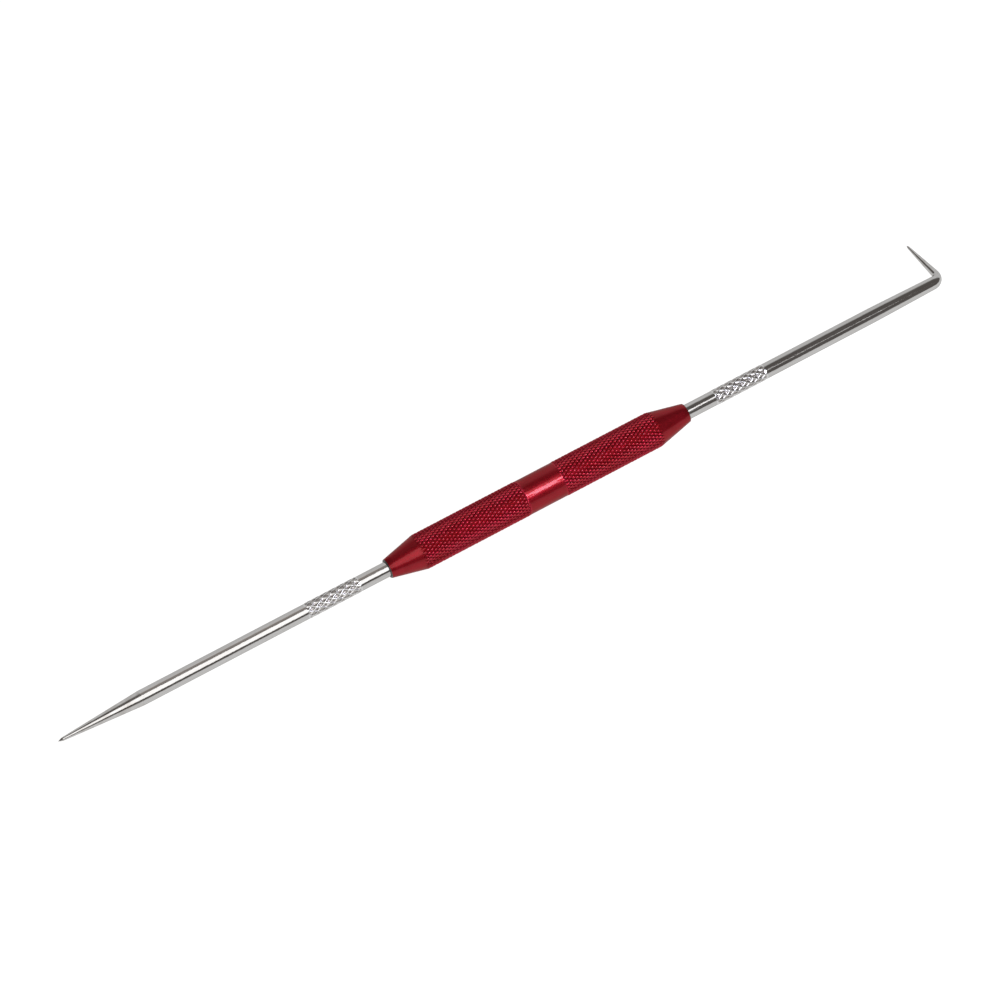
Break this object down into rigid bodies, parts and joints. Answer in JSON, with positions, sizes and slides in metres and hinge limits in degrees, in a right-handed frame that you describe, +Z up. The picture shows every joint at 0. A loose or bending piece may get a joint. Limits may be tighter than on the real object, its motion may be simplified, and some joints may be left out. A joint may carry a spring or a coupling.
{
  "type": "double-ended scriber",
  "caption": "Slim knurled handle with cone ends, a straight ground steel point screwed into one end and a right-angled hooked point screwed into the other.",
  "frame": {"origin": "on the surface the tool lies on, straight below the middle of the handle", "axes": "+X along the handle toward the bent point, +Y the way the hook points, +Z up"},
  "size_m": [0.2217, 0.0173, 0.0082],
  "materials": {
    "red_anodised_aluminium": "satin red anodised, knurled grips",
    "polished_steel": "bright drawn and polished, ground points"
  },
  "bodies": {
    "handle": {"handle": "red_anodised_aluminium"},
    "straight_point": {"straight_point": "polished_steel"},
    "bent_point": {"bent_point": "polished_steel"}
  },
  "joints": [
    {"name": "straight_point_out", "type": "slide", "parent": "handle", "child": "straight_point", "axis": [-1, 0, 0], "range_m": [0, 0.015]},
    {"name": "bent_point_out", "type": "slide", "parent": "handle", "child": "bent_point", "axis": [1, 0, 0], "range_m": [0, 0.015]}
  ]
}
